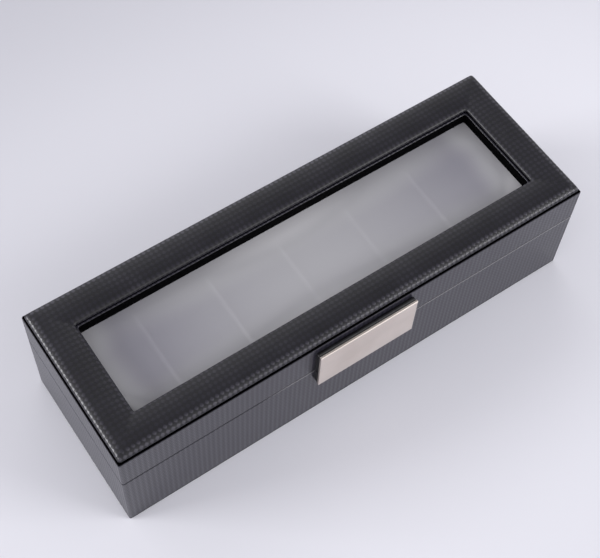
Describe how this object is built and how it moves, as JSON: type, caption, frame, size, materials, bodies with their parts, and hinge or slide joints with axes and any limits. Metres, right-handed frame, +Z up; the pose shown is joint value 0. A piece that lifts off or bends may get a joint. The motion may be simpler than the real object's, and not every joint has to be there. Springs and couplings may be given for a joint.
{
  "type": "watch box",
  "caption": "Long black leatherette watch box with a padded window lid on two hinges, lined places with pillows, and a nickel clasp flap.",
  "frame": {"origin": "middle of the underside, where the felt meets the table", "axes": "+X along the box to its right end, -Y out of the front with the clasp, +Z up"},
  "size_m": [0.305, 0.1107, 0.0802],
  "materials": {
    "leatherette": "embossed satin",
    "board": "raw fibreboard",
    "felt": "matte",
    "lining_velvet": "short pile",
    "pillow_velvet": "short pile",
    "pane": "hazy",
    "plate_nickel": "brushed",
    "black_metal": "satin",
    "hinge_steel": "satin"
  },
  "bodies": {
    "base": {"base_felt": "felt", "base_floor_panel": "board", "base_front_wall": "board", "base_back_wall": "board", "base_left_wall": "board", "base_right_wall": "board", "base_wrap": "leatherette", "liner_floor": "lining_velvet", "liner_front": "lining_velvet", "liner_back": "lining_velvet", "liner_left": "lining_velvet", "liner_right": "lining_velvet", "divider_1": "lining_velvet", "divider_2": "lining_velvet", "divider_3": "lining_velvet", "divider_4": "lining_velvet", "divider_5": "lining_velvet", "pillow_1": "pillow_velvet", "pillow_2": "pillow_velvet", "pillow_3": "pillow_velvet", "pillow_4": "pillow_velvet", "pillow_5": "pillow_velvet", "pillow_6": "pillow_velvet", "hinge_left_base_leaf": "hinge_steel", "hinge_right_base_leaf": "hinge_steel", "hinge_left_pin": "hinge_steel", "hinge_right_pin": "hinge_steel", "hinge_base_screws": "hinge_steel", "clasp_keeper": "black_metal", "clasp_magnet": "hinge_steel", "clasp_keeper_screws": "hinge_steel"},
    "lid": {"lid_front_rail": "board", "lid_back_rail": "board", "lid_left_rail": "board", "lid_right_rail": "board", "lid_top_frame": "board", "lid_wrap": "leatherette", "lid_top_pad": "leatherette", "window_pane": "pane", "pane_retainer": "lining_velvet", "lid_liner_front": "lining_velvet", "lid_liner_back": "lining_velvet", "lid_liner_left": "lining_velvet", "lid_liner_right": "lining_velvet", "hinge_left_lid_leaf": "hinge_steel", "hinge_right_lid_leaf": "hinge_steel", "hinge_lid_screws": "hinge_steel", "clasp_bracket": "black_metal", "clasp_pin": "hinge_steel", "clasp_bracket_screws": "hinge_steel"},
    "clasp": {"clasp_flap": "black_metal", "clasp_face_plate": "plate_nickel"}
  },
  "joints": [
    {"name": "lid_hinge", "type": "hinge", "parent": "base", "child": "lid", "pos_m": [0, 0.0532, 0.051], "axis": [-1, 0, 0], "range_deg": [0, 100]},
    {"name": "clasp_hinge", "type": "hinge", "parent": "lid", "child": "clasp", "pos_m": [0, -0.0526, 0.0703], "axis": [-1, 0, 0], "range_deg": [0, 90]}
  ]
}
